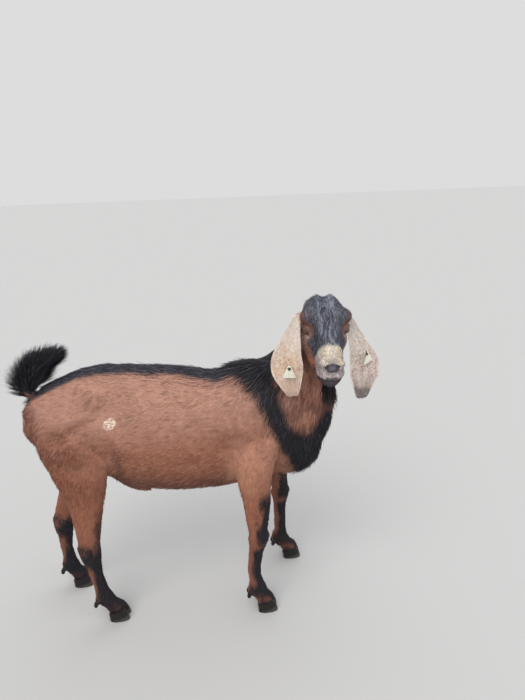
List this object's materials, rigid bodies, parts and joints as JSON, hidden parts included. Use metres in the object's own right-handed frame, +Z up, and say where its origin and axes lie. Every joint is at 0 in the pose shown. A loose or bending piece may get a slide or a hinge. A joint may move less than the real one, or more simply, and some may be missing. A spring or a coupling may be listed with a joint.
{
  "type": "nubian goat",
  "caption": "Standing young nubian buck with long hanging ears, a roman nose, a black back stripe and collar, a raised bushy tail and its head turned to its right.",
  "frame": {"origin": "on the floor under the middle of the goat's bounding box", "axes": "+X the way the body faces, +Y to its left, +Z up"},
  "size_m": [1.0162, 0.3864, 0.9924],
  "materials": {
    "body_coat": "short flat chestnut coat with a black stripe of longer hair along the back",
    "neck_coat": "longer chestnut hair with a black collar",
    "face_coat": "wavy black forehead hair, brown cheeks and a cream grizzled muzzle",
    "tail_hair": "long black hair",
    "ear_skin": "thin skin with sparse pale hair and tan mottling",
    "eye": "wet amber eye with a level dark pupil",
    "horn": "worn dark grey horn",
    "tag_plastic": "smooth moulded pale yellow plastic with no print",
    "lower_leg_coat": "very short black hair, brown behind",
    "upper_leg_coat": "short brown hair"
  },
  "bodies": {
    "root": {"head": "face_coat", "eye_right": "eye", "ear_right": "ear_skin", "tag_right": "tag_plastic", "eye_left": "eye", "ear_left": "ear_skin", "tag_left": "tag_plastic", "fore_right_forearm": "upper_leg_coat", "fore_right_claw_inner": "horn", "fore_right_dewclaw_inner": "horn", "fore_right_claw_outer": "horn", "fore_right_dewclaw_outer": "horn", "fore_right_cannon": "lower_leg_coat", "fore_left_forearm": "upper_leg_coat", "fore_left_claw_inner": "horn", "fore_left_dewclaw_inner": "horn", "fore_left_claw_outer": "horn", "fore_left_dewclaw_outer": "horn", "fore_left_cannon": "lower_leg_coat", "hind_right_gaskin": "upper_leg_coat", "hind_right_claw_inner": "horn", "hind_right_dewclaw_inner": "horn", "hind_right_claw_outer": "horn", "hind_right_dewclaw_outer": "horn", "hind_right_cannon": "lower_leg_coat", "hind_left_gaskin": "upper_leg_coat", "hind_left_claw_inner": "horn", "hind_left_dewclaw_inner": "horn", "hind_left_claw_outer": "horn", "hind_left_dewclaw_outer": "horn", "hind_left_cannon": "lower_leg_coat", "neck": "neck_coat", "torso": "body_coat", "tail": "tail_hair"}
  },
  "joints": []
}
